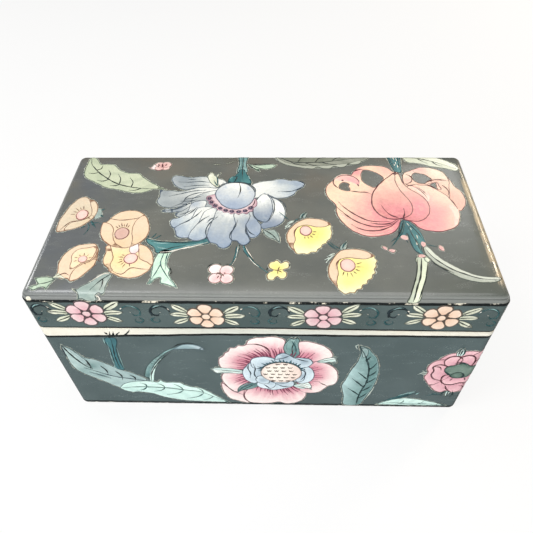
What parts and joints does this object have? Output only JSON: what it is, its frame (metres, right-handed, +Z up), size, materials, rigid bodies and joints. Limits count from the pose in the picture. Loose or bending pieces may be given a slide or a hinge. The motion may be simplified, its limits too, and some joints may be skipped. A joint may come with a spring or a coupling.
{
  "type": "lidded box",
  "caption": "Rectangular glazed porcelain box with a lift-off lid that drops over a raised inner lip, painted with large flowers on a dark ground, for papers and keepsakes.",
  "frame": {"origin": "middle of the footprint, on the surface that the box stands on", "axes": "+Z up; +X along the box's length, to the right as the painted front is seen; the painted front faces -Y"},
  "size_m": [0.254, 0.122, 0.118],
  "materials": {
    "dark_glaze": "dark slate-grey glaze, satin gloss, worn to cream along the edges",
    "flower_enamel": "thin raised overglaze enamels in pink, peach, pale green and blue-white"
  },
  "bodies": {
    "base": {"base": "dark_glaze"},
    "lid": {"lid": "dark_glaze"}
  },
  "joints": [
    {"name": "lid_lift", "type": "slide", "parent": "base", "child": "lid", "axis": [0, 0, 1], "range_m": [0, 0.15]}
  ]
}
